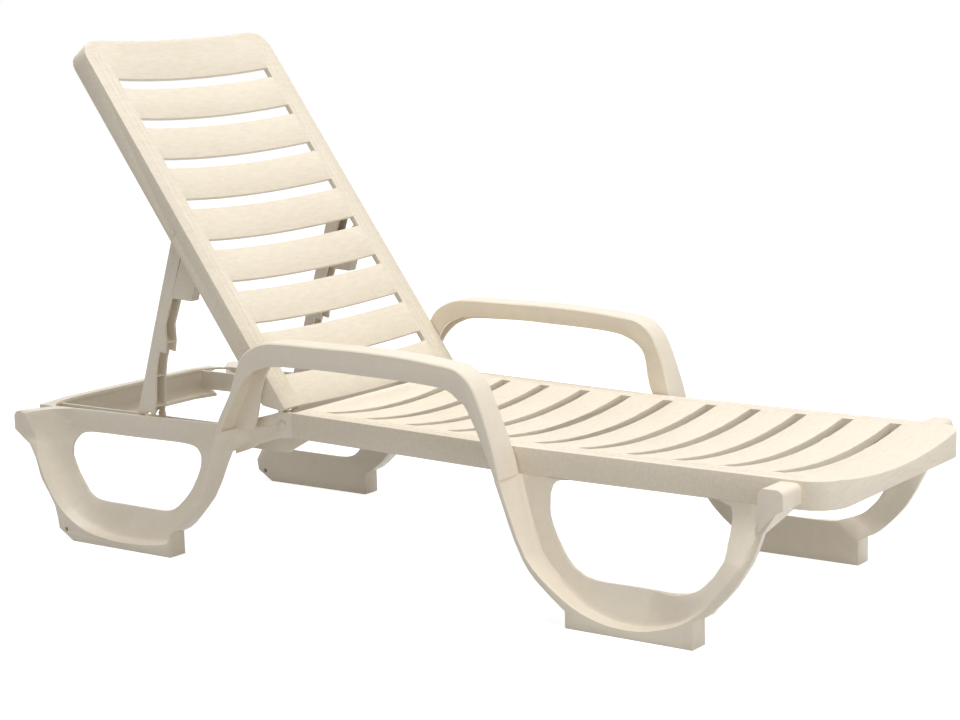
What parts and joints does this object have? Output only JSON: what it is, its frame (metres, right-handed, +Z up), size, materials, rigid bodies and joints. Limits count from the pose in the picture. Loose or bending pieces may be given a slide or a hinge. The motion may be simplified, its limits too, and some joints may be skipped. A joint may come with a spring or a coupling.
{
  "type": "stacking chaise longue",
  "caption": "Moulded resin chaise longue with a slatted seat, an adjustable slatted back on notched props, low armrests and loop legs.",
  "frame": {"origin": "on the floor, under the middle of the base in length and width", "axes": "+Z up, +X to the foot end along the length, +Y to the left of a person who sits on the chaise and faces the foot end"},
  "size_m": [1.774, 0.636, 0.9738],
  "materials": {
    "seat_deck": "satin moulded resin, beige",
    "front_leg_right": "satin moulded resin, beige",
    "front_leg_left": "satin moulded resin, beige",
    "rear_leg_right": "satin moulded resin, beige",
    "rear_leg_left": "satin moulded resin, beige",
    "inner_rail_right": "satin moulded resin, beige",
    "inner_rail_left": "satin moulded resin, beige",
    "armrest_right": "satin moulded resin, beige",
    "armrest_left": "satin moulded resin, beige",
    "head_beam": "satin moulded resin, beige",
    "backrest": "satin moulded resin, beige",
    "prop_arm_right": "satin moulded resin, beige",
    "prop_arm_left": "satin moulded resin, beige",
    "hinge_pin_right": "satin moulded resin, beige",
    "hinge_pin_left": "satin moulded resin, beige",
    "prop_pin_right": "satin moulded resin, beige",
    "prop_pin_left": "satin moulded resin, beige"
  },
  "bodies": {
    "base": {"seat_deck": "seat_deck", "front_leg_right": "front_leg_right", "front_leg_left": "front_leg_left", "rear_leg_right": "rear_leg_right", "rear_leg_left": "rear_leg_left", "inner_rail_right": "inner_rail_right", "inner_rail_left": "inner_rail_left", "armrest_right": "armrest_right", "armrest_left": "armrest_left", "head_beam": "head_beam", "hinge_pin_right": "hinge_pin_right", "hinge_pin_left": "hinge_pin_left"},
    "back": {"backrest": "backrest", "prop_pin_right": "prop_pin_right", "prop_pin_left": "prop_pin_left"},
    "prop_right": {"prop_arm_right": "prop_arm_right"},
    "prop_left": {"prop_arm_left": "prop_arm_left"}
  },
  "joints": [
    {"name": "back_hinge", "type": "hinge", "parent": "base", "child": "back", "pos_m": [-0.236, 0, 0.27], "axis": [0, -1, 0], "range_deg": [0, 54.4]},
    {"name": "prop_swing_right", "type": "hinge", "parent": "back", "child": "prop_right", "pos_m": [-0.47817, -0.2315, 0.61685], "axis": [0, 1, 0], "range_deg": [0, 126.5]},
    {"name": "prop_swing_left", "type": "hinge", "parent": "back", "child": "prop_left", "pos_m": [-0.47817, 0.2315, 0.61685], "axis": [0, 1, 0], "range_deg": [0, 126.5]}
  ]
}
